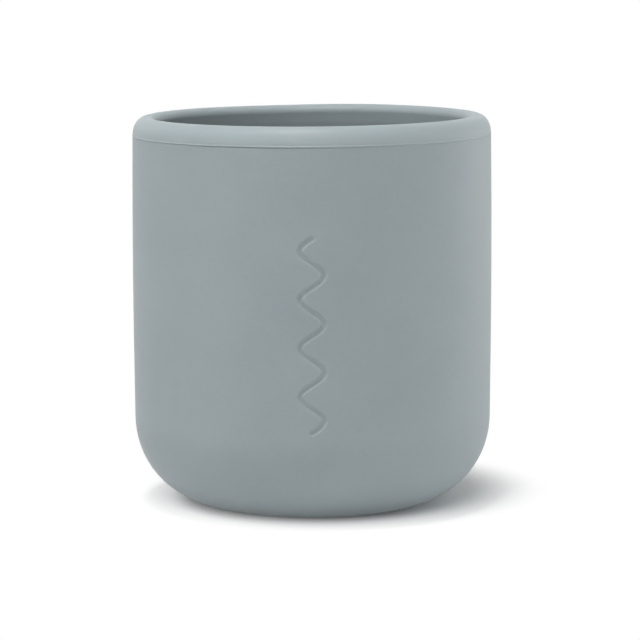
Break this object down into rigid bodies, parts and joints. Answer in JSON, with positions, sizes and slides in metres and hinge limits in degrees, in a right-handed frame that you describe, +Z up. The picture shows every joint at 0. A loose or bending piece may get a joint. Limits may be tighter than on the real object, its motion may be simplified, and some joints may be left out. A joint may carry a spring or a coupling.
{
  "type": "silicone drinking cup",
  "caption": "Small thick-walled silicone drinking cup with straight sides, a large round heel, a flat foot and a round-edged lip ring seated on the wall.",
  "frame": {"origin": "centre of the foot, on the surface that the cup stands on", "axes": "+Z up along the cup's axis; the cup is round, and -Y is the side that faces the camera in the picture"},
  "size_m": [0.0752, 0.0752, 0.0815],
  "materials": {
    "silicone_body": "matte grey-blue silicone",
    "silicone_lip": "matte grey-blue silicone"
  },
  "bodies": {
    "root": {"cup_body": "silicone_body", "lip_ring": "silicone_lip"}
  },
  "joints": []
}
